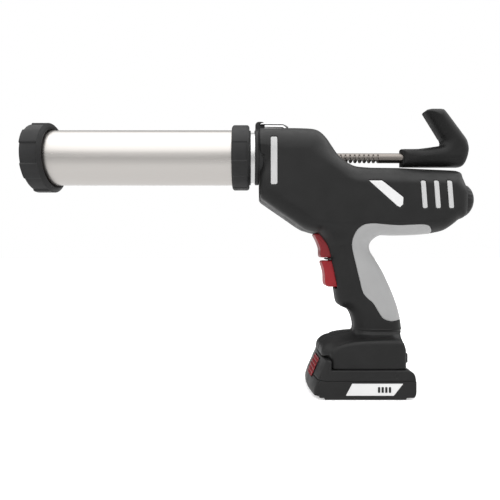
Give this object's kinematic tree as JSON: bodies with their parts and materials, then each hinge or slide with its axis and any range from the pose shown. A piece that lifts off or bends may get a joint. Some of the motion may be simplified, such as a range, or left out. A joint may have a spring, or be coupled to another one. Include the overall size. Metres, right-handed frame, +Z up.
{
  "type": "caulking gun",
  "caption": "Battery-powered caulking gun with closed aluminium barrel, screw cap, toothed rod with hooked pull handle, red triggers and slide-on battery.",
  "frame": {"origin": "on the battery's bottom face and the mid plane, under the front edge of the handle", "axes": "+X from the barrel's cap towards the pull handle, +Z up; Y = 0 is the housing's parting plane"},
  "size_m": [0.4416, 0.072, 0.2824],
  "materials": {
    "body_plastic": "finely grained black moulding",
    "ring_plastic": "satin black moulding",
    "soft_grip": "soft grey overmoulding",
    "light_plastic": "pale grey moulding",
    "label_white": "printed film",
    "tube_aluminium": "satin anodised",
    "cast_aluminium": "as cast",
    "guide_brass": "turned",
    "rod_steel": "oiled rack steel",
    "bright_steel": "ground",
    "inner_plastic": "plain",
    "board_green": "solder mask",
    "seal_rubber": "moulded",
    "trigger_red": "smooth dark red moulding",
    "cell_wrap": "shrink wrap"
  },
  "bodies": {
    "housing": {"housing_left": "body_plastic", "housing_right": "body_plastic", "soft_grip": "soft_grip", "front_stripe_left": "light_plastic", "front_stripe_right": "light_plastic", "tail_label_left": "label_white", "tail_label_right": "label_white", "vent_insert_left": "light_plastic", "vent_insert_right": "light_plastic", "nose_collar": "ring_plastic", "barrel_spigot": "tube_aluminium", "rod_guide_front": "guide_brass", "rod_guide_rear": "guide_brass", "gear_plate_left": "cast_aluminium", "gear_plate_right": "cast_aluminium", "upper_bearing_left": "bright_steel", "upper_bearing_right": "bright_steel", "lower_bearing_left": "bright_steel", "lower_bearing_right": "bright_steel", "gearbox": "cast_aluminium", "motor": "bright_steel", "switch": "inner_plastic", "control_board": "board_green", "terminal_block": "inner_plastic", "trigger_pin": "bright_steel", "trigger_spring_upper": "bright_steel", "trigger_spring_lower": "bright_steel", "housing_screw_1": "bright_steel", "housing_screw_2": "bright_steel", "housing_screw_3": "bright_steel", "housing_screw_4": "bright_steel"},
    "barrel": {"barrel_tube": "tube_aluminium", "rear_ring": "ring_plastic"},
    "cap_seat": {"seat_ring": "seal_rubber"},
    "cap": {"front_cap": "ring_plastic"},
    "rod": {"rack_rod": "rod_steel", "plunger_plate": "ring_plastic", "plunger_seal": "seal_rubber", "plunger_nut": "bright_steel", "pull_handle": "ring_plastic"},
    "upper_shaft": {"rack_pinion": "bright_steel", "upper_spur_gear": "bright_steel"},
    "lower_drive": {"lower_shaft": "bright_steel", "lower_spur_gear": "bright_steel", "bevel_wheel": "bright_steel"},
    "bevel_drive": {"bevel_pinion": "bright_steel"},
    "trigger_upper": {"trigger_upper": "trigger_red"},
    "trigger_lower": {"trigger_lower": "trigger_red"},
    "dial": {"speed_dial": "ring_plastic"},
    "loop": {"hang_loop": "bright_steel"},
    "battery": {"battery_tray": "ring_plastic", "battery_lid": "ring_plastic", "battery_cell_1": "cell_wrap", "battery_cell_2": "cell_wrap", "battery_cell_3": "cell_wrap", "battery_cell_4": "cell_wrap", "battery_cell_5": "cell_wrap"},
    "latch": {"latch_button": "trigger_red"}
  },
  "joints": [
    {"name": "rod_slide", "type": "slide", "parent": "housing", "child": "rod", "axis": [1, 0, 0], "range_m": [-0.025, 0.135]},
    {"name": "upper_shaft_turn", "type": "hinge", "parent": "housing", "child": "upper_shaft", "pos_m": [-0.05, 0, 0.2235], "axis": [0, 1, 0], "range_deg": [-222, 1093]},
    {"name": "lower_shaft_turn", "type": "hinge", "parent": "housing", "child": "lower_drive", "pos_m": [-0.05, 0, 0.191], "axis": [0, 1, 0], "range_deg": [-1748, 355]},
    {"name": "bevel_turn", "type": "hinge", "parent": "housing", "child": "bevel_drive", "pos_m": [-0.02, 0, 0.191], "axis": [1, 0, 0], "range_deg": [-3496, 709]},
    {"name": "trigger_upper_pull", "type": "slide", "parent": "housing", "child": "trigger_upper", "axis": [1, 0, 0], "range_m": [0, 0.006], "stiffness_N_per_m": 600, "springref_m": -0.003, "deforming": ["trigger_spring_upper"]},
    {"name": "trigger_lower_pull", "type": "slide", "parent": "housing", "child": "trigger_lower", "axis": [1, 0, 0], "range_m": [0, 0.006], "stiffness_N_per_m": 600, "springref_m": -0.003, "deforming": ["trigger_spring_lower"]},
    {"name": "barrel_turn", "type": "hinge", "parent": "housing", "child": "barrel", "pos_m": [-0.2, 0, 0.2345], "axis": [1, 0, 0], "continuous": true},
    {"name": "cap_travel", "type": "slide", "parent": "barrel", "child": "cap_seat", "axis": [-1, 0, 0], "range_m": [0, 0.012]},
    {"name": "cap_turn", "type": "hinge", "parent": "cap_seat", "child": "cap", "pos_m": [-0.31, 0, 0.2345], "axis": [-1, 0, 0], "range_deg": [-5, 1085]},
    {"name": "dial_turn", "type": "hinge", "parent": "housing", "child": "dial", "pos_m": [0.113, 0, 0.191], "axis": [1, 0, 0], "range_deg": [0, 270]},
    {"name": "loop_swing", "type": "hinge", "parent": "housing", "child": "loop", "pos_m": [-0.0926, 0, 0.2682], "axis": [0, 1, 0], "range_deg": [-140, 0]},
    {"name": "battery_slide", "type": "slide", "parent": "housing", "child": "battery", "axis": [-1, 0, 0], "range_m": [0, 0.09]},
    {"name": "latch_press", "type": "slide", "parent": "battery", "child": "latch", "axis": [1, 0, 0], "range_m": [0, 0.0025], "stiffness_N_per_m": 800, "springref_m": -0.002}
  ],
  "couplings": [
    {"joint": "upper_shaft_turn", "follows": "rod_slide", "rad_per_m": 133.33},
    {"joint": "lower_shaft_turn", "follows": "rod_slide", "rad_per_m": -213.33},
    {"joint": "bevel_turn", "follows": "rod_slide", "rad_per_m": -426.67},
    {"joint": "cap_turn", "follows": "cap_travel", "rad_per_m": 1570.8}
  ]
}
